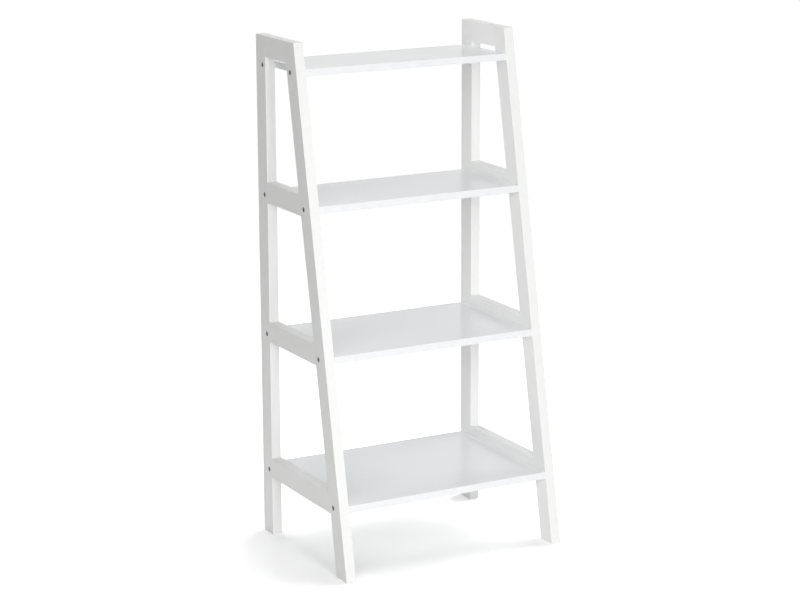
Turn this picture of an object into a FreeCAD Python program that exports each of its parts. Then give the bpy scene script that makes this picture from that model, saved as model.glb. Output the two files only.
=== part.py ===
import FreeCAD, Part
import math
import os

# Ladder shelf: two leaning side frames, each glued up from two legs and four rails,
# carry four boards that are screwed between them.
# +X runs along the boards, +Y points to the rear and +Z up. The origin is on the
# floor under the middle of the outline. Lengths are in millimetres.

# Overall sizes
overall_height = 1100.0
overall_width = 524.0
base_depth = 397.0               # toe of the front legs to the rear face, on the floor
top_depth = 180.0                # front face to rear face, across the top

# Side frames
frame_thickness = 22.5           # legs and rails alike, along X
rear_leg_width = 45.0
front_leg_width = 45.0           # square to the leaning leg
top_rail_height = 45.0
lower_rail_height = 45.0
frame_arris = 1.2                # rounding of the frame's exposed edges

# Boards, and the rails beside them
board_thickness = 15.0
bottom_board_height = 156.0      # top face of the bottom board above the floor
tier_spacing = 306.0             # from one lower board to the next
top_slot = 9.0                   # gap between the top board and the rail above it
rail_rise = 20.0                 # a lower rail's top edge stands this far above its board
board_arris = 1.0                # rounding of every board edge
back_beyond_screws = {           # back edge behind the board's rear screws, along Y
    "bottom": 20.0,
    "middle": 15.0,
    "upper": 9.0,
    "top": 12.0,
}

# Screws through the legs into the board ends
screw_from_leg_edge = 15.0       # screw axis to the leg's inner edge, along Y
screw_below_middle = 1.5         # screw axis below the middle of the board's thickness
screw_length = 50.0
screw_head_radius = 5.5
screw_rim = 1.0                  # straight rim of the head, above its cone
screw_recess = 0.6               # head below the leg's outer face
screw_shank_radius = 3.5
screw_core_radius = 2.5
screw_tip_radius = 1.2
screw_tip_length = 3.0
shank_short_of_board = 0.5       # plain shank ends this far before the board
socket_across_flats = 4.0
socket_depth = 3.0
screw_clearance = 0.1            # round the head and shank in the leg
thread_clearance = 0.05          # round the core in the board
pilot_overrun = 1.5              # pilot hole beyond the screw's tip

# Dowels between legs and rails
dowel_radius = 4.0
dowel_length = 25.0
dowel_chamfer = 1.0
dowel_spacing = 20.0             # between the two dowels of one joint
dowel_clearance = 0.05           # round the dowel
dowel_end_gap = 0.5              # glue space at each end of the dowel
dowel_to_screw_wall = 2.5        # wood left between a dowel hole and a screw hole

cut_overrun = 1.0                # tools run this far past the faces that they cut
same_place = 1e-6                # points nearer than this count as one

# Places that follow from the sizes
rear_face = base_depth / 2
inner_face = overall_width / 2 - frame_thickness
lean = (base_depth - top_depth) / overall_height
front_leg_run = front_leg_width * math.hypot(1.0, lean)
rear_leg_inner = rear_face - rear_leg_width
rear_screw_y = rear_leg_inner + screw_from_leg_edge
shank_hole_radius = screw_shank_radius + screw_clearance
dowel_leg_depth = screw_from_leg_edge - shank_hole_radius - dowel_to_screw_wall
dowel_rail_depth = dowel_length + 2 * dowel_end_gap - dowel_leg_depth

board_heights = {
    "bottom": bottom_board_height,
    "middle": bottom_board_height + tier_spacing,
    "upper": bottom_board_height + 2 * tier_spacing,
    "top": overall_height - top_rail_height - top_slot,
}

# Lower and upper edge of each rail
rails = {"top": (overall_height - top_rail_height, overall_height)}
for rail_name, board_name in (("lower", "bottom"), ("middle", "middle"), ("upper", "upper")):
    rail_top = board_heights[board_name] + rail_rise
    rails[rail_name] = (rail_top - lower_rail_height, rail_top)


def front_face(z):
    """Y of the leaning front face at height z."""
    return rear_face - base_depth + lean * z


def front_leg_inner(z):
    """Y of the front leg's rear side at height z."""
    return front_face(z) + front_leg_run


def front_screw_y(z):
    return front_leg_inner(z) - screw_from_leg_edge


def prism(outline, x_low, x_high):
    """Solid over a closed outline of (y, z) points, from x_low to x_high."""
    corners = [FreeCAD.Vector(x_low, y, z) for y, z in outline]
    face = Part.Face(Part.makePolygon(corners + corners[:1]))
    return face.extrude(FreeCAD.Vector(x_high - x_low, 0, 0))


def turned(profile, x, y, z):
    """Solid of revolution about the line along +X from (x, y, z), from (run, radius) points."""
    corners = [FreeCAD.Vector(x + run, y + radius, z) for run, radius in profile]
    face = Part.Face(Part.makePolygon(corners + corners[:1]))
    return face.revolve(FreeCAD.Vector(x, y, z), FreeCAD.Vector(1, 0, 0), 360)


def mirrored(shape):
    """The same piece on the right-hand side."""
    return shape.mirror(FreeCAD.Vector(0, 0, 0), FreeCAD.Vector(1, 0, 0))


def band_between_legs(z_low, z_high):
    """Outline of the space between the two legs, from z_low to z_high."""
    return [
        (rear_leg_inner, z_low),
        (rear_leg_inner, z_high),
        (front_leg_inner(z_high), z_high),
        (front_leg_inner(z_low), z_low),
    ]


def is_eased(edge):
    """True for the frame edges that are sanded round: not the windows' corners, nor the feet."""
    start, end = edge.Vertexes[0].Point, edge.Vertexes[-1].Point
    if abs(end.x - start.x) > same_place:
        return min(start.z, end.z) > overall_height - same_place
    return max(start.z, end.z) > same_place


def cutter(outline):
    """Prism through the left frame's whole thickness."""
    return prism(outline, -overall_width / 2 - cut_overrun, -inner_face + cut_overrun)


def frame_blank():
    """The left side frame in one piece, with its exposed edges rounded."""
    outline = [
        (rear_face, 0),
        (rear_face, overall_height),
        (front_face(overall_height), overall_height),
        (front_face(0), 0),
    ]
    blank = prism(outline, -overall_width / 2, -inner_face)
    edges_of_rails = sorted(height for rail in rails.values() for height in rail)
    windows = zip([-cut_overrun] + edges_of_rails[1:-1:2], edges_of_rails[0:-1:2])
    for z_low, z_high in windows:
        blank = blank.cut(cutter(band_between_legs(z_low, z_high)))
    return blank.makeFillet(frame_arris, [edge for edge in blank.Edges if is_eased(edge)])


def rear_leg_zone():
    low, high = -cut_overrun, overall_height + cut_overrun
    back = rear_face + cut_overrun
    return cutter([(rear_leg_inner, low), (rear_leg_inner, high), (back, high), (back, low)])


def front_leg_zone():
    low, high = -cut_overrun, overall_height + cut_overrun
    front = front_face(low) - cut_overrun
    return cutter([(front_leg_inner(low), low), (front_leg_inner(high), high), (front, high), (front, low)])


def rail_zone(z_low, z_high):
    return cutter(band_between_legs(z_low - cut_overrun, z_high + cut_overrun))


def screw_hole(y, z):
    """Countersunk clearance hole through the left frame."""
    head = screw_head_radius + screw_clearance
    cone_top = screw_recess + screw_rim
    cone_end = cone_top + head - shank_hole_radius
    through = frame_thickness + cut_overrun
    profile = [
        (-cut_overrun, 0),
        (-cut_overrun, head),
        (cone_top, head),
        (cone_end, shank_hole_radius),
        (through, shank_hole_radius),
        (through, 0),
    ]
    return turned(profile, -overall_width / 2, y, z)


def pilot_hole(y, z):
    """Blind hole in the left end of a board."""
    depth = screw_recess + screw_length - frame_thickness + pilot_overrun
    radius = screw_core_radius + thread_clearance
    profile = [(-cut_overrun, 0), (-cut_overrun, radius), (depth, radius), (depth, 0)]
    return turned(profile, -inner_face, y, z)


def screw(y, z):
    """Countersunk connecting screw with a hexagon socket, in the left frame."""
    cone_end = screw_rim + screw_head_radius - screw_shank_radius
    shank_end = frame_thickness - screw_recess - shank_short_of_board
    profile = [
        (0, 0),
        (0, screw_head_radius),
        (screw_rim, screw_head_radius),
        (cone_end, screw_shank_radius),
        (shank_end, screw_shank_radius),
        (shank_end, screw_core_radius),
        (screw_length - screw_tip_length, screw_core_radius),
        (screw_length, screw_tip_radius),
        (screw_length, 0),
    ]
    head_x = -overall_width / 2 + screw_recess
    corner_radius = socket_across_flats / math.sqrt(3)
    corners = []
    for step in range(6):
        angle = math.radians(60 * step)
        y_off, z_off = corner_radius * math.cos(angle), corner_radius * math.sin(angle)
        corners.append((y + y_off, z + z_off))
    socket = prism(corners, head_x - cut_overrun, head_x + socket_depth)
    return turned(profile, head_x, y, z).cut(socket)


def dowel_heights(rail_name):
    z_low, z_high = rails[rail_name]
    middle = (z_low + z_high) / 2
    return [middle - dowel_spacing / 2, middle + dowel_spacing / 2]


def rod(y_low, y_high, z, radius):
    """Cylinder along Y, in the middle of the left frame's thickness."""
    base = FreeCAD.Vector(-inner_face - frame_thickness / 2, y_low, z)
    return Part.makeCylinder(radius, y_high - y_low, base, FreeCAD.Vector(0, 1, 0))


def dowel_hole(joint_y, into_leg, z):
    """Hole that runs from the leg into the rail; into_leg is +1 for the rear leg, -1 for the front."""
    ends = [joint_y + into_leg * dowel_leg_depth, joint_y - into_leg * dowel_rail_depth]
    return rod(min(ends), max(ends), z, dowel_radius + dowel_clearance)


def dowel(joint_y, into_leg, z):
    ends = [
        joint_y + into_leg * (dowel_leg_depth - dowel_end_gap),
        joint_y - into_leg * (dowel_rail_depth - dowel_end_gap),
    ]
    pin = rod(min(ends), max(ends), z, dowel_radius)
    rims = [edge for edge in pin.Edges if edge.Closed]
    return pin.makeChamfer(dowel_chamfer, rims)


def rear_joints():
    """(joint_y, into_leg, z) of each dowel in the rear leg."""
    return [(rear_leg_inner, 1, z) for name in rails for z in dowel_heights(name)]


def front_joints():
    """(joint_y, into_leg, z) of each dowel in the front leg."""
    return [(front_leg_inner(z), -1, z) for name in rails for z in dowel_heights(name)]


def screw_height(board_name):
    return board_heights[board_name] - board_thickness / 2 - screw_below_middle


def screw_places(board_name):
    """(y, z) of the rear and the front screw at each end of a board."""
    z = screw_height(board_name)
    return [(rear_screw_y, z), (front_screw_y(z), z)]


def board(board_name):
    """Board between the frames, its front edge bevelled to lie in the legs' front face."""
    z_high = board_heights[board_name]
    z_low = z_high - board_thickness
    back = rear_screw_y + back_beyond_screws[board_name]
    outline = [
        (back, z_low),
        (back, z_high),
        (front_face(z_high), z_high),
        (front_face(z_low), z_low),
    ]
    blank = prism(outline, -inner_face, inner_face)
    blank = blank.makeFillet(board_arris, blank.Edges)
    for y, z in screw_places(board_name):
        hole = pilot_hole(y, z)
        blank = blank.cut(hole).cut(mirrored(hole))
    return blank


def left_frame():
    """Name and shape of each piece of the left side frame."""
    blank = frame_blank()
    pieces = {
        "rear_leg": blank.common(rear_leg_zone()),
        "front_leg": blank.common(front_leg_zone()),
    }
    for name, (z_low, z_high) in rails.items():
        pieces[name + "_rail"] = blank.common(rail_zone(z_low, z_high))

    for board_name in board_heights:
        (rear_y, z), (front_y, _) = screw_places(board_name)
        pieces["rear_leg"] = pieces["rear_leg"].cut(screw_hole(rear_y, z))
        pieces["front_leg"] = pieces["front_leg"].cut(screw_hole(front_y, z))

    for name in rails:
        for z in dowel_heights(name):
            rear_hole = dowel_hole(rear_leg_inner, 1, z)
            front_hole = dowel_hole(front_leg_inner(z), -1, z)
            pieces["rear_leg"] = pieces["rear_leg"].cut(rear_hole)
            pieces["front_leg"] = pieces["front_leg"].cut(front_hole)
            pieces[name + "_rail"] = pieces[name + "_rail"].cut(rear_hole).cut(front_hole)

    pieces["rear_dowels"] = Part.makeCompound([dowel(*place) for place in rear_joints()])
    pieces["front_dowels"] = Part.makeCompound([dowel(*place) for place in front_joints()])
    return pieces


def all_nodes():
    nodes = {}
    for name, piece in left_frame().items():
        nodes["left_" + name] = piece
        nodes["right_" + name] = mirrored(piece)
    for board_name in board_heights:
        nodes[board_name + "_shelf"] = board(board_name)
        left_screws = [screw(y, z) for y, z in screw_places(board_name)]
        right_screws = [mirrored(piece) for piece in left_screws]
        nodes[board_name + "_shelf_screws"] = Part.makeCompound(left_screws + right_screws)
    return nodes


os.makedirs("parts", exist_ok=True)
for node_name, shape in all_nodes().items():
    shape.exportStep("parts/" + node_name + ".step")
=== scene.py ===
import math

import bpy
from mathutils import Matrix, Vector


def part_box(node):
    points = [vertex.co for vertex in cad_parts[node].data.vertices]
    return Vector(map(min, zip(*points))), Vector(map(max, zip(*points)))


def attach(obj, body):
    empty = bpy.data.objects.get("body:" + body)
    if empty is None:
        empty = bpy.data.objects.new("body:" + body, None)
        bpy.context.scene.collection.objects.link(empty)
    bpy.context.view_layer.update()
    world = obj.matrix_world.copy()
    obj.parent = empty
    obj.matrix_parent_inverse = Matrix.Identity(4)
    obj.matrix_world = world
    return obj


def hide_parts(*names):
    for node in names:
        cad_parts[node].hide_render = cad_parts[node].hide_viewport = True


# A white ladder shelf: two side frames of painted wood, four painted fibreboard shelves,
# the screws that hold them and the dowels inside the frames. Lengths are in metres.

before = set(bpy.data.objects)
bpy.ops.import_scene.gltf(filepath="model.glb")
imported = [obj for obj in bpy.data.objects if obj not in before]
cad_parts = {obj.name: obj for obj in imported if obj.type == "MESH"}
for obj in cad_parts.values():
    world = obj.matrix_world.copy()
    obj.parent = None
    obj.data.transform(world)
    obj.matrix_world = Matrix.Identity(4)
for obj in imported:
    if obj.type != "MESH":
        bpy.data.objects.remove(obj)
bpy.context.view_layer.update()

MM = 0.001
SIDES = ("left", "right")
TIERS = ("top", "upper", "middle", "bottom")
RAILS = ("top", "upper", "middle", "lower")

# The legs' inner sides: where the rear one stands, and the line that the front one follows. It
# runs along the slanted front ends of the rails.
rear_leg_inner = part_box("left_lower_rail")[1].y
low_end, top_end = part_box("left_lower_rail")[0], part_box("left_top_rail")[0]
lean = (top_end.y - low_end.y) / (top_end.z - low_end.z)
front_leg_foot = low_end.y - lean * low_end.z

# Camera: where it stands, where it looks and its lens
CAMERA_PLACE = Vector((-2.4023, -4.3615, 1.7422))
CAMERA_AZIMUTH = math.radians(-28.585)
CAMERA_ELEVATION = math.radians(13.655)
CAMERA_ROLL = math.radians(-0.2056)
CAMERA_RANGE = 200.0             # things further off than this aren't drawn
LENS_MM = 107.576
SENSOR_MM = 36.0

# Studio. A lamp's level is the light that it alone gives a face turned to it, 1 being full white.
SKY_LEVEL = 0.03
FLOOR_COLOR = (0.84, 0.84, 0.84)
FLOOR_HALF_SIZE = 60.0
# What the floor adds to itself for the camera and in gloss, under the object and out in the open
FLOOR_GLOW_SHADED = 0.27
FLOOR_GLOW_OPEN = 0.85
# The shade between them: the shares of open sky where it is full and where it ends, how near a
# thing must be to take sky away, and the direction of the middle of that sky
FLOOR_SHADE_LIMITS = (0.63, 0.82)
FLOOR_SHADE_REACH = 0.70
FLOOR_SHADE_FROM = (0.76, 0.38, 0.45)
DISTANT_SPREAD = math.radians(50)
# name: direction that it stands in, level
DISTANT_LIGHTS = {
    "window_front_left": ((-0.62, -0.70, 0.35), 0.42),
    "window_front_right": ((0.66, -0.66, 0.35), 0.10),
}
# name: place, point that it faces, width, height, level there
SOFTBOXES = {
    "front_softbox": ((-0.3, -2.2, 1.0), (0.0, 0.0, 0.6), 0.5, 1.2, 0.26),
    "front_left_softbox": ((-0.7, -1.6, 0.9), (0.0, 0.0, 0.6), 0.9, 1.2, 0.20),
    "right_softbox": ((1.7, 0.0, 1.0), (0.0, 0.0, 0.6), 1.0, 1.4, 0.37),
    "rear_softbox": ((0.0, 1.8, 1.5), (0.0, 0.0, 0.6), 1.4, 1.2, 0.39),
    "top_softbox": ((0.0, 0.0, 2.3), (0.0, 0.0, 0.5), 1.4, 1.4, 0.22),
}
BOUNCE_LEVEL = 0.06              # light thrown up by the floor round the object's foot
BOUNCE_RADIUS = 0.8
BOUNCE_RISE = 4.0 * MM

# Paint
FRAME_WHITE = (0.878, 0.880, 0.870)
RAIL_WHITE = (0.888, 0.890, 0.880)
SHELF_WHITE = (0.857, 0.869, 0.880)
UNDERCOAT = (0.74, 0.70, 0.63)
BLACK = (0.0, 0.0, 0.0)
PAINT_IOR = 1.5
ARRIS_LIMITS = (0.985, 0.90)     # largest part of the normal where an edge starts to round and is round
JOINT_RUN = 3.5 * MM             # length over which the paint runs up at a joint
LOWER_JOINT_RISE = 0.10          # how far it runs up there, in millimetres, on the lower three rails
TOP_JOINT_RISE = 0.90            # and on the top rail
HAIRLINE_LIMITS = (0.25 * MM, 0.05 * MM)    # distances from a joint where the hairline ends and is full
HAIRLINE_DEPTH = 0.05            # in millimetres

# Screws and dowels
SCREW_SIDES = 48
SCREW_EDGE = 0.4 * MM            # rounding of the head's edge
SCREW_RIM = 1.0 * MM
SCREW_SHANK_RADIUS = 3.5 * MM
SCREW_CORE_RADIUS = 2.5 * MM
SCREW_SHANK_END = 21.4 * MM
SCREW_TIP_RADIUS = 1.2 * MM
SCREW_TIP_LENGTH = 3.0 * MM
THREAD_PITCH = 3.0 * MM
THREAD_DEPTH = 0.9 * MM
THREAD_RINGS = 72
THREAD_FLANK = (0.24, 0.03)      # shares of the pitch, from the crest's middle, to its foot and its flat
THREAD_FADE = 6.0                # rings over which the thread runs out at each end
SCREW_SPIN_SEED = 7
SOCKET_ACROSS_FLATS = 4.0 * MM
SOCKET_DEPTH = 3.0 * MM
SOCKET_CHAMFER = 0.3 * MM
SOCKET_POINT = 0.6 * MM          # cone at the bottom of the socket
HEAD_RING_SPACING = 0.35 * MM    # rings on the head's face
HEAD_RING_LIMITS = (1.2 * MM, 0.8 * MM)    # depths where the rings end and where they are full
DOWEL_SIDES = 60
DOWEL_CHAMFER = 1.0 * MM
DOWEL_FLUTES = 12
FLUTE_DEPTH = 0.35 * MM
FLUTE_LIMITS = (0.2, 1.0)        # cosines across a flute, at its edge and at its middle
WELD_DISTANCE = 0.002 * MM       # points nearer than this become one
SHARP_BEND = math.radians(28)    # edges that turn by more than this stay hard


# --- Node trees ------------------------------------------------------------------------

class Wire:
    """An output socket that takes part in Python expressions, each of which adds a Math node."""

    def __init__(self, tree, socket):
        self.tree = tree
        self.socket = socket

    def math(self, operation, *others):
        return self.tree.math(operation, self, *others)

    def __add__(self, other):
        return self.math("ADD", other)

    def __radd__(self, other):
        return self.tree.math("ADD", other, self)

    def __sub__(self, other):
        return self.math("SUBTRACT", other)

    def __rsub__(self, other):
        return self.tree.math("SUBTRACT", other, self)

    def __mul__(self, other):
        return self.math("MULTIPLY", other)

    def __rmul__(self, other):
        return self.tree.math("MULTIPLY", other, self)

    def __truediv__(self, other):
        return self.math("DIVIDE", other)

    def __mod__(self, other):
        return self.math("FLOORED_MODULO", other)

    def __abs__(self):
        return self.math("ABSOLUTE")


class Tree:
    """Adds nodes to a material's, the world's or a Geometry Nodes tree."""

    def __init__(self, tree):
        self.tree = tree

    def node(self, kind, settings=None, values=None, output=0):
        """Adds one node: its settings first, then the value or link of each socket by its
        identifier or number. Gives the output of that identifier or number, or all those of
        a list."""
        made = self.tree.nodes.new(kind)
        for name, setting in (settings or {}).items():
            setattr(made, name, setting)
        for key, value in (values or {}).items():
            socket = self.find(made.inputs, key)
            if isinstance(value, Wire):
                self.tree.links.new(value.socket, socket)
            else:
                socket.default_value = value
        if isinstance(output, list):
            return [Wire(self, self.find(made.outputs, key)) for key in output]
        return Wire(self, self.find(made.outputs, output)) if len(made.outputs) else None

    @staticmethod
    def find(sockets, key):
        if isinstance(key, int):
            return sockets[key]
        return next(socket for socket in sockets if socket.identifier == key)

    def math(self, operation, *values):
        return self.node("ShaderNodeMath", {"operation": operation}, dict(enumerate(values)))

    def step(self, value, low, high, to_low=0.0, to_high=1.0):
        """Smooth step of value between low and high."""
        return self.node(
            "ShaderNodeMapRange",
            {"interpolation_type": "SMOOTHSTEP"},
            {"Value": value, "From Min": low, "From Max": high, "To Min": to_low, "To Max": to_high},
        )

    def blend(self, factor, color_a, color_b):
        return self.node(
            "ShaderNodeMix",
            {"data_type": "RGBA"},
            {"Factor_Float": factor, "A_Color": opaque(color_a), "B_Color": opaque(color_b)},
            "Result_Color",
        )

    def vector(self, x, y, z):
        return self.node("ShaderNodeCombineXYZ", None, {"X": x, "Y": y, "Z": z})

    def parts(self, vector):
        """The three components of a vector."""
        return self.node("ShaderNodeSeparateXYZ", None, {"Vector": vector}, ["X", "Y", "Z"])

    def noise(self, vector, scale, detail, roughness=0.5, distortion=0.0):
        """Noise about zero, from roughly -1 to 1."""
        raw = self.node(
            "ShaderNodeTexNoise",
            None,
            {"Vector": vector, "Scale": scale, "Detail": detail, "Roughness": roughness,
             "Distortion": distortion},
        )
        return raw * 2.0 - 1.0


def opaque(color):
    """The colour with full alpha, unless it is a wire."""
    return color if isinstance(color, Wire) else (*color, 1.0)


def mix(low, high, share):
    return low + share * (high - low)


# --- Materials -------------------------------------------------------------------------

def new_material(name):
    material = bpy.data.materials.new(name)
    material.use_nodes = True
    material.node_tree.nodes.clear()
    return material, Tree(material.node_tree)


def finish_material(tree, height, **sockets):
    """Principled shader with a bump of the given height, in millimetres."""
    normal = tree.node("ShaderNodeBump", None, {"Strength": 1.0, "Distance": MM, "Height": height})
    shader = tree.node("ShaderNodeBsdfPrincipled", None, {"Normal": normal, **sockets})
    tree.node("ShaderNodeOutputMaterial", None, {"Surface": shader})


def turned(tree, vector, angle):
    """The vector turned about X, so that the wood's length lies along Z."""
    values = {"Vector": vector, "Angle": angle}
    return tree.node("ShaderNodeVectorRotate", {"rotation_type": "X_AXIS"}, values)


def stretched(tree, vector, scale):
    values = {"Vector": vector, "Vector_001": scale}
    return tree.node("ShaderNodeVectorMath", {"operation": "MULTIPLY"}, values)


def arris_mask(tree, normal):
    """1 on the rounded edges of a square bar or board, 0 on its flat faces."""
    x, y, z = [abs(part) for part in tree.parts(normal)]
    largest = x.math("MAXIMUM", y).math("MAXIMUM", z)
    return tree.step(largest, *ARRIS_LIMITS)


def frame_paint(name, grain_angle, white=FRAME_WHITE, joint_rise=0.0):
    """White satin paint on a planed solid wood bar whose length lies at grain_angle from upright. On a
    rail the paint rises by joint_rise millimetres where the rail meets the rear leg."""
    material, tree = new_material(name)
    place, normal = tree.node("ShaderNodeTexCoord", None, None, ["Object", "Normal"])
    along = turned(tree, place, grain_angle)
    edge = arris_mask(tree, turned(tree, normal, grain_angle))

    pores = tree.noise(stretched(tree, along, (1.0, 1.0, 0.018)), 900.0, 2.0, 0.55)
    figure = tree.noise(stretched(tree, along, (1.0, 1.0, 0.05)), 95.0, 3.0, 0.5, 0.6)
    peel = tree.noise(place, 420.0, 1.0)
    dust = tree.noise(place, 1900.0, 1.0)
    cloud = tree.noise(place, 7.0, 2.0)

    thin_film = edge * tree.step(tree.noise(place, 120.0, 2.0), -0.2, 0.7)
    valley = tree.step(pores, -0.15, -0.75)
    tone = 0.026 * valley + 0.012 * (0.5 - 0.5 * figure) + 0.008 * (0.5 + 0.5 * cloud)
    color = tree.blend(tone, white, BLACK)
    color = tree.blend(thin_film * 0.10, color, UNDERCOAT)
    rough = 0.40 + 0.035 * cloud + 0.03 * valley + 0.02 * dust - 0.06 * edge
    height = 0.010 * figure - 0.018 * valley + 0.0040 * peel + 0.0010 * dust
    if joint_rise:
        height = height + joint_finish(tree, place, joint_rise)
    finish_material(tree, height, **{"Base Color": color, "Roughness": rough, "IOR": PAINT_IOR})
    return material


def joint_finish(tree, place, rise):
    """Height of the paint, in millimetres, near a rail's ends: it runs up onto the rear leg, and a
    hairline follows both joints."""
    _, y, z = tree.parts(place)
    to_rear_leg = rear_leg_inner - y
    to_front_leg = y - front_leg_foot - lean * z
    hairline = tree.step(to_rear_leg.math("MINIMUM", to_front_leg), *HAIRLINE_LIMITS)
    return rise * tree.step(to_rear_leg, JOINT_RUN, 0.0) - HAIRLINE_DEPTH * hairline


def shelf_paint():
    """Smooth white satin lacquer on fibreboard: fine orange peel on the faces, a little fibre on the
    edges."""
    material, tree = new_material("shelf_paint_white")
    place, normal = tree.node("ShaderNodeTexCoord", None, None, ["Object", "Normal"])
    edge = arris_mask(tree, normal)
    upright = tree.step(abs(tree.parts(normal)[2]), 0.7, 0.3)

    peel = tree.noise(place, 260.0, 1.5)
    fine = tree.noise(place, 900.0, 1.0)
    fibre = tree.noise(stretched(tree, place, (0.25, 1.0, 1.0)), 2400.0, 2.0, 0.6)
    cloud = tree.noise(place, 5.0, 2.0)

    tone = 0.010 * (0.5 + 0.5 * cloud) + 0.012 * upright * (0.5 + 0.5 * fibre)
    color = tree.blend(tone, SHELF_WHITE, BLACK)
    thin_film = edge * tree.step(tree.noise(place, 110.0, 2.0), 0.0, 0.8)
    color = tree.blend(thin_film * 0.08, color, UNDERCOAT)
    rough = 0.20 + 0.008 * cloud + 0.14 * upright
    height = 0.0008 * peel + 0.0003 * fine + 0.010 * upright * fibre
    finish_material(tree, height, **{"Base Color": color, "Roughness": rough, "IOR": PAINT_IOR})
    return material


def screw_steel():
    """Dark zinc-plated steel; the head keeps faint rings from its forging die."""
    material, tree = new_material("dark_zinc_steel")
    local = tree.node("ShaderNodeAttribute", {"attribute_name": "own_place"}, None, "Vector")
    axial, across_y, across_z = tree.parts(local)
    radius = tree.math("SQRT", across_y * across_y + across_z * across_z)
    cloud = tree.noise(local, 400.0, 3.0, 0.6)
    speck = tree.noise(local, 2600.0, 2.0)
    rings = tree.math("SINE", radius * (2 * math.pi / HEAD_RING_SPACING))
    on_head = tree.step(axial, *HEAD_RING_LIMITS)
    tone = 0.5 + 0.35 * cloud + 0.15 * speck
    color = tree.blend(tone, (0.085, 0.085, 0.092), (0.20, 0.195, 0.185))
    rough = 0.36 + 0.08 * cloud + 0.04 * speck
    height = 0.002 * cloud + 0.001 * speck + 0.003 * rings * on_head
    finish_material(tree, height, **{"Base Color": color, "Roughness": rough, "Metallic": 1.0})
    return material


def dowel_beech():
    """Raw beech with its short dark flecks, grain along the dowel."""
    material, tree = new_material("raw_beech")
    place = tree.node("ShaderNodeTexCoord", None, None, "Object")
    along = stretched(tree, place, (1.0, 0.06, 1.0))
    grain = tree.noise(along, 700.0, 3.0, 0.6)
    fleck = tree.step(tree.noise(stretched(tree, place, (1.0, 0.2, 1.0)), 1500.0, 1.0), 0.35, 0.7)
    color = tree.blend(0.5 + 0.5 * grain, (0.60, 0.42, 0.26), (0.74, 0.56, 0.38))
    color = tree.blend(fleck * 0.5, color, (0.38, 0.23, 0.13))
    rough = 0.66 + 0.06 * grain
    height = 0.02 * grain - 0.01 * fleck
    finish_material(tree, height, **{"Base Color": color, "Roughness": rough})
    return material


# --- Turned hardware -------------------------------------------------------------------

def geometry_tree(name, sizes):
    """Geometry Nodes tree with a geometry input and output and one named input for each size."""
    group = bpy.data.node_groups.new(name, "GeometryNodeTree")
    group.interface.new_socket("Geometry", in_out="INPUT", socket_type="NodeSocketGeometry")
    kinds = {int: "NodeSocketInt", float: "NodeSocketFloat", bpy.types.Material: "NodeSocketMaterial"}
    for size_name, value in sizes.items():
        group.interface.new_socket(size_name, in_out="INPUT", socket_type=kinds[type(value)])
    group.interface.new_socket("Geometry", in_out="OUTPUT", socket_type="NodeSocketGeometry")
    tree = Tree(group)
    entry = group.nodes.new("NodeGroupInput")
    wires = {socket.name: Wire(tree, socket) for socket in entry.outputs if socket.name}
    return group, tree, wires


def pick(tree, index, values):
    """The value at that index, from a list of numbers and wires."""
    node = tree.tree.nodes.new("GeometryNodeIndexSwitch")
    node.data_type = "FLOAT"
    while len(node.index_switch_items) < len(values):
        node.index_switch_items.new()
    tree.tree.links.new(index.socket, node.inputs["Index"])
    for number, value in enumerate(values):
        socket = node.inputs[number + 1]
        if isinstance(value, Wire):
            tree.tree.links.new(value.socket, socket)
        else:
            socket.default_value = value
    return Wire(tree, node.outputs[0])


def lathe(tree, sides, stations, shape):
    """Closed mesh turned about X. shape(station, angle) gives the distance along X and the radius."""
    around = sides + 1
    grid = tree.node("GeometryNodeMeshGrid", None, {"Vertices X": stations, "Vertices Y": around})
    index = tree.node("GeometryNodeInputIndex")
    station = tree.math("FLOOR", (index + 0.5) / around)
    angle = (index - station * around) * (2 * math.pi) / sides
    distance, radius = shape(station, angle)
    across_y = radius * tree.math("COSINE", angle)
    across_z = radius * tree.math("SINE", angle)
    place = tree.vector(distance, across_y, across_z)
    placed = tree.node("GeometryNodeSetPosition", None, {"Geometry": grid, "Position": place})
    closed = tree.node("GeometryNodeMergeByDistance", None, {"Geometry": placed, "Distance": WELD_DISTANCE})
    outward = tree.node("GeometryNodeFlipFaces", None, {"Mesh": closed})
    own_place = tree.node("GeometryNodeInputPosition")
    return tree.node(
        "GeometryNodeStoreNamedAttribute",
        {"data_type": "FLOAT_VECTOR", "domain": "POINT"},
        {"Geometry": outward, "Name": "own_place", "Value": own_place},
    )


def repeat(tree, points, piece, rotation, material):
    """The piece on every point, as one mesh with hard edges where its faces turn sharply."""
    turned_by = tree.node("FunctionNodeEulerToRotation", None, {"Euler": rotation})
    copies = tree.node(
        "GeometryNodeInstanceOnPoints", None, {"Points": points, "Instance": piece, "Rotation": turned_by}
    )
    real = tree.node("GeometryNodeRealizeInstances", None, {"Geometry": copies})
    bend = tree.node("GeometryNodeInputMeshEdgeAngle", None, None, "Unsigned Angle")
    smooth = tree.node(
        "GeometryNodeSetShadeSmooth",
        {"domain": "EDGE"},
        {"Geometry": real, "Selection": bend.math("GREATER_THAN", SHARP_BEND), "Shade Smooth": False},
    )
    done = tree.node("GeometryNodeSetMaterial", None, {"Geometry": smooth, "Material": material})
    tree.node("NodeGroupOutput", None, {0: done})


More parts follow.
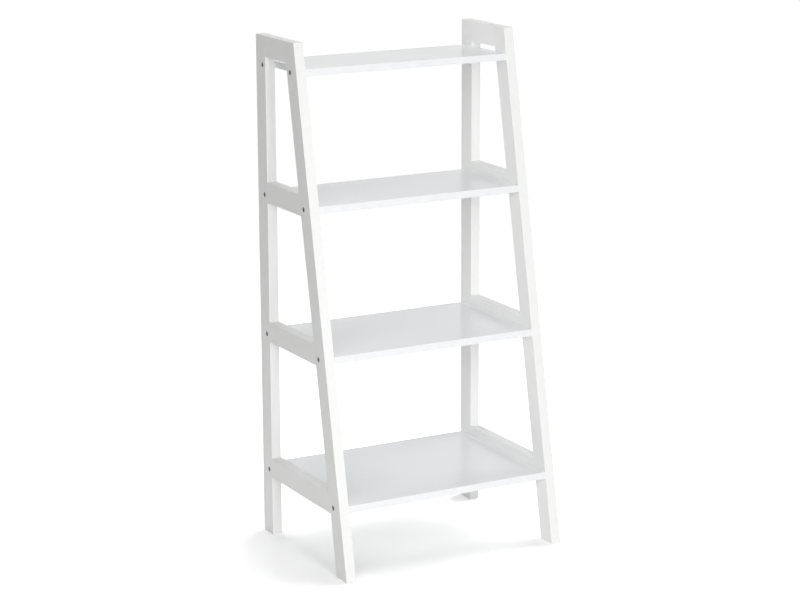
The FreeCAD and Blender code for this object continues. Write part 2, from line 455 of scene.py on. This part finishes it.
def screw_tree(sizes):
    """Countersunk screws with a hexagon socket and a coarse thread, one on each point. The head faces
    away from the middle of the shelf."""
    group, tree, size = geometry_tree("connecting_screws", sizes)
    head, shank, core = size["Head Radius"], size["Shank Radius"], size["Core Radius"]
    length, tip_length, edge = size["Length"], size["Tip Length"], size["Head Edge"]
    flat = size["Socket Across Flats"] / 2
    corner = flat / math.cos(math.pi / 6)
    mouth = corner + size["Socket Chamfer"] / 4
    shank_end = size["Shank End"]
    cone_end = size["Rim"] + head - shank
    half = math.sqrt(0.5)
    # Distance from the head's face, radius, and 1 where the ring is the socket's hexagon
    head_stations = [
        (size["Socket Depth"] + size["Socket Point"], 0.0, 0),
        (size["Socket Depth"], corner, 1),
        (size["Socket Chamfer"], corner, 1),
        (0.0, mouth, 0),
        (0.0, head - edge, 0),
        (edge * (1 - half), head - edge * (1 - half), 0),
        (edge, head, 0),
        (size["Rim"], head, 0),
        (cone_end, shank, 0),
        (shank_end, shank, 0),
    ]
    tip_stations = [(length, size["Tip Radius"], 0), (length, 0.0, 0)]
    first_ring = len(head_stations)
    rings = size["Thread Rings"]
    total = rings + len(head_stations) + len(tip_stations)

    def shape(station, angle):
        ring = station - first_ring
        thread_run = length - tip_length - shank_end
        ring_distance = shank_end + thread_run * ring / (rings - 1.0)
        wave = (ring_distance / size["Thread Pitch"] - angle / (2 * math.pi)) % 1.0
        crest = tree.step(abs(wave - 0.5), *THREAD_FLANK)
        fade = tree.step(ring, 0.0, THREAD_FADE) * tree.step(rings - ring, 1.0, 1.0 + THREAD_FADE)
        ring_radius = core + size["Thread Depth"] * crest * fade
        in_thread = station.math("GREATER_THAN", first_ring - 0.5)
        in_tip = (station - first_ring - rings).math("GREATER_THAN", -0.5)
        head_distance, head_radius, hexagon = (
            pick(tree, station, [values[part] for values in head_stations]) for part in range(3)
        )
        tip_distance, tip_radius = (
            pick(tree, station - first_ring - rings, [values[part] for values in tip_stations])
            for part in range(2)
        )
        sector = (angle + math.pi / 6) % (math.pi / 3) - math.pi / 6
        hexagonal = head_radius * math.cos(math.pi / 6) / tree.math("COSINE", sector)
        head_radius = head_radius + hexagon * (hexagonal - head_radius)
        distance = mix(mix(head_distance, ring_distance, in_thread), tip_distance, in_tip)
        return distance, mix(mix(head_radius, ring_radius, in_thread), tip_radius, in_tip)

    screw = lathe(tree, size["Sides"], total, shape)
    outer = tree.parts(tree.node("GeometryNodeInputPosition"))[0].math("GREATER_THAN", 0.0)
    spin = tree.node(
        "FunctionNodeRandomValue",
        {"data_type": "FLOAT"},
        {"Max_001": math.pi / 3, "Seed": SCREW_SPIN_SEED},
        "Value_001",
    )
    repeat(tree, size["Geometry"], screw, tree.vector(spin, 0.0, outer * math.pi), size["Material"])
    return group


def dowel_tree(sizes):
    """Fluted dowels with chamfered ends, one centred on each point, along Y."""
    group, tree, size = geometry_tree("fluted_dowels", sizes)
    radius, length, chamfer = size["Radius"], size["Length"], size["Chamfer"]
    distances = [-0.5 * length, -0.5 * length, chamfer - 0.5 * length]
    distances += [0.5 * length - chamfer, 0.5 * length, 0.5 * length]
    radii = [0.0, radius - chamfer, radius, radius, radius - chamfer, 0.0]
    fluted = [0.0, 0.5, 1.0, 1.0, 0.5, 0.0]

    def shape(station, angle):
        groove = tree.step(tree.math("COSINE", angle * size["Flutes"]), *FLUTE_LIMITS)
        depth = size["Flute Depth"] * groove * pick(tree, station, fluted)
        return pick(tree, station, distances), pick(tree, station, radii) - depth

    dowel = lathe(tree, size["Sides"], len(radii), shape)
    rotation = tree.vector(0.0, 0.0, math.pi / 2)
    repeat(tree, size["Geometry"], dowel, rotation, size["Material"])
    return group


def grown(name, points, group, sizes, replaced):
    """Runs a tree on a set of points and keeps the result as a plain mesh that stands for a CAD
    node."""
    seed_mesh = bpy.data.meshes.new(name + "_points")
    seed_mesh.from_pydata(points, [], [])
    seed = bpy.data.objects.new(name + "_points", seed_mesh)
    bpy.context.scene.collection.objects.link(seed)
    modifier = seed.modifiers.new("pieces", "NODES")
    modifier.node_group = group
    for socket in group.interface.items_tree:
        if socket.item_type == "SOCKET" and socket.in_out == "INPUT" and socket.name in sizes:
            modifier[socket.identifier] = sizes[socket.name]
    bpy.context.view_layer.update()
    evaluated = seed.evaluated_get(bpy.context.evaluated_depsgraph_get())
    mesh = bpy.data.meshes.new_from_object(evaluated)
    mesh.name = name
    seed.modifiers.clear()
    bpy.data.objects.remove(seed)
    piece = bpy.data.objects.new(name, mesh)
    bpy.context.scene.collection.objects.link(piece)
    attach(piece, "root")
    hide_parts(replaced)
    return piece


# --- The object ------------------------------------------------------------------------

def node_points(name):
    return [vertex.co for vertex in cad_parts[name].data.vertices]


def paint(name, material):
    """Puts the material in every slot of a CAD node."""
    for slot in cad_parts[name].material_slots:
        slot.material = material


def dowel_places(side, leg):
    """Centre of each dowel of one leg, and the dowels' radius and length, from their CAD node."""
    node = f"{side}_{leg}_dowels"
    low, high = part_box(node)
    corners = node_points(node)
    x = (low.x + high.x) / 2
    radius = (high.x - low.x) / 2
    lowest = low.z + radius
    rail_low, rail_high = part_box(side + "_lower_rail")
    half_spacing = (rail_low.z + rail_high.z) / 2 - lowest
    places = []
    for rail in RAILS:
        rail_low, rail_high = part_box(f"{side}_{rail}_rail")
        middle = (rail_low.z + rail_high.z) / 2
        for z in (middle - half_spacing, middle + half_spacing):
            ends = [corner.y for corner in corners if abs(corner.z - z) < half_spacing]
            places.append((x, (min(ends) + max(ends)) / 2, z))
    return places, radius, max(ends) - min(ends)


def make_dowels():
    beech = dowel_beech()
    group = None
    for side in SIDES:
        for leg in ("rear", "front"):
            places, radius, length = dowel_places(side, leg)
            sizes = {
                "Radius": radius, "Length": length, "Chamfer": DOWEL_CHAMFER, "Sides": DOWEL_SIDES,
                "Flutes": float(DOWEL_FLUTES), "Flute Depth": FLUTE_DEPTH, "Material": beech,
            }
            group = group or dowel_tree(sizes)
            node = f"{side}_{leg}_dowels"
            grown(node + "_fluted", places, group, sizes, node)


def make_screws():
    steel = screw_steel()
    group = None
    for tier in TIERS:
        node = tier + "_shelf_screws"
        low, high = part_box(node)
        radius = (high.z - low.z) / 2
        left_tip = max(corner.x for corner in node_points(node) if corner.x < 0)
        places = [
            (x, y, low.z + radius)
            for x in (low.x, high.x)
            for y in (low.y + radius, high.y - radius)
        ]
        sizes = {
            "Head Radius": radius, "Length": left_tip - low.x, "Head Edge": SCREW_EDGE, "Rim": SCREW_RIM,
            "Shank Radius": SCREW_SHANK_RADIUS, "Shank End": SCREW_SHANK_END,
            "Core Radius": SCREW_CORE_RADIUS, "Tip Radius": SCREW_TIP_RADIUS,
            "Tip Length": SCREW_TIP_LENGTH, "Thread Pitch": THREAD_PITCH, "Thread Depth": THREAD_DEPTH,
            "Socket Across Flats": SOCKET_ACROSS_FLATS, "Socket Depth": SOCKET_DEPTH,
            "Socket Chamfer": SOCKET_CHAMFER, "Socket Point": SOCKET_POINT,
            "Sides": SCREW_SIDES, "Thread Rings": THREAD_RINGS, "Material": steel,
        }
        group = group or screw_tree(sizes)
        grown(node + "_threaded", places, group, sizes, node)


def paint_frames():
    upright = frame_paint("frame_paint_upright", 0.0)
    leaning = frame_paint("frame_paint_leaning", math.atan(lean))
    level = frame_paint("frame_paint_level", math.pi / 2, RAIL_WHITE, LOWER_JOINT_RISE)
    top = frame_paint("frame_paint_top", math.pi / 2, RAIL_WHITE, TOP_JOINT_RISE)
    for side in SIDES:
        paint(side + "_rear_leg", upright)
        paint(side + "_front_leg", leaning)
        for rail in RAILS:
            paint(f"{side}_{rail}_rail", top if rail == "top" else level)


def paint_shelves():
    white = shelf_paint()
    for tier in TIERS:
        paint(tier + "_shelf", white)


# --- The studio ------------------------------------------------------------------------

def seen_directly(tree):
    """1 for what the camera sees, straight or in gloss and glass; 0 for diffuse light."""
    rays = ["Is Camera Ray", "Is Glossy Ray", "Is Transmission Ray"]
    camera, gloss, glass = tree.node("ShaderNodeLightPath", None, None, rays)
    return camera.math("MAXIMUM", gloss).math("MAXIMUM", glass)


def make_world():
    world = bpy.data.worlds.new("white_studio")
    world.use_nodes = True
    world.node_tree.nodes.clear()
    tree = Tree(world.node_tree)
    strength = mix(SKY_LEVEL, 1.0, seen_directly(tree))
    sky = tree.node("ShaderNodeBackground", None, {"Color": (1.0, 1.0, 1.0, 1.0), "Strength": strength})
    tree.node("ShaderNodeOutputWorld", None, {"Surface": sky})
    bpy.context.scene.world = world


def make_floor():
    """White floor without end, darker for the eye where the object takes its sky away."""
    size = FLOOR_HALF_SIZE
    mesh = bpy.data.meshes.new("floor")
    corners = [(-size, -size, 0), (size, -size, 0), (size, size, 0), (-size, size, 0)]
    mesh.from_pydata(corners, [], [(0, 1, 2, 3)])
    floor = bpy.data.objects.new("floor", mesh)
    bpy.context.scene.collection.objects.link(floor)
    material, tree = new_material("white_sweep")
    matt = tree.node("ShaderNodeBsdfDiffuse", None, {"Color": opaque(FLOOR_COLOR)})
    towards = tree.vector(*FLOOR_SHADE_FROM)
    clear = tree.node(
        "ShaderNodeAmbientOcclusion", None, {"Distance": FLOOR_SHADE_REACH, "Normal": towards}, "AO"
    )
    level = tree.step(clear, *FLOOR_SHADE_LIMITS, FLOOR_GLOW_SHADED, FLOOR_GLOW_OPEN)
    glow = tree.node("ShaderNodeEmission", None, {"Strength": level * seen_directly(tree)})
    both = tree.node("ShaderNodeAddShader", None, {0: matt, 1: glow})
    tree.node("ShaderNodeOutputMaterial", None, {"Surface": both})
    floor.data.materials.append(material)


def place_lamp(name, data, place, away):
    """Adds a lamp that shines opposite to the direction away. Only its light shows, not the lamp."""
    lamp = bpy.data.objects.new(name, data)
    lamp.location = place
    lamp.rotation_euler = Vector(away).to_track_quat("Z", "Y").to_euler()
    lamp.visible_camera = False
    lamp.visible_glossy = False
    bpy.context.scene.collection.objects.link(lamp)


def make_distant_light(name, towards, level):
    """Distant light that alone gives a white face turned to it the given level."""
    data = bpy.data.lights.new(name, "SUN")
    data.energy = math.pi * level
    data.angle = DISTANT_SPREAD
    place_lamp(name, data, (0.0, 0.0, 0.0), towards)


def make_softbox(name, place, aim, width, height, level):
    """Rectangular lamp that alone gives a white face at the point aim the given level."""
    away = Vector(place) - Vector(aim)
    data = bpy.data.lights.new(name, "AREA")
    data.shape = "RECTANGLE"
    data.size = width
    data.size_y = height
    data.energy = math.pi ** 2 * away.length_squared * level
    place_lamp(name, data, place, away)


def make_bounce():
    """Round patch of light just above the floor, shining up."""
    data = bpy.data.lights.new("floor_bounce", "AREA")
    data.shape = "DISK"
    data.size = 2 * BOUNCE_RADIUS
    data.energy = math.pi ** 2 * BOUNCE_RADIUS ** 2 * BOUNCE_LEVEL
    place_lamp("floor_bounce", data, (0.0, 0.0, BOUNCE_RISE), (0.0, 0.0, -1.0))


def make_camera():
    back = Vector((
        math.sin(CAMERA_AZIMUTH) * math.cos(CAMERA_ELEVATION),
        -math.cos(CAMERA_AZIMUTH) * math.cos(CAMERA_ELEVATION),
        math.sin(CAMERA_ELEVATION),
    ))
    right = Vector((math.cos(CAMERA_AZIMUTH), math.sin(CAMERA_AZIMUTH), 0.0))
    facing = Matrix((right, back.cross(right), back)).transposed().to_4x4()
    data = bpy.data.cameras.new("camera")
    data.sensor_width = SENSOR_MM
    data.lens = LENS_MM
    data.clip_end = CAMERA_RANGE
    camera = bpy.data.objects.new("camera", data)
    camera.matrix_world = Matrix.Translation(CAMERA_PLACE) @ facing @ Matrix.Rotation(CAMERA_ROLL, 4, "Z")
    bpy.context.scene.collection.objects.link(camera)
    bpy.context.scene.camera = camera


paint_frames()
paint_shelves()
make_screws()
make_dowels()

make_world()
make_floor()
for light_name, settings in DISTANT_LIGHTS.items():
    make_distant_light(light_name, *settings)
for light_name, settings in SOFTBOXES.items():
    make_softbox(light_name, *settings)
make_bounce()
make_camera()
bpy.context.scene.view_settings.view_transform = "Standard"
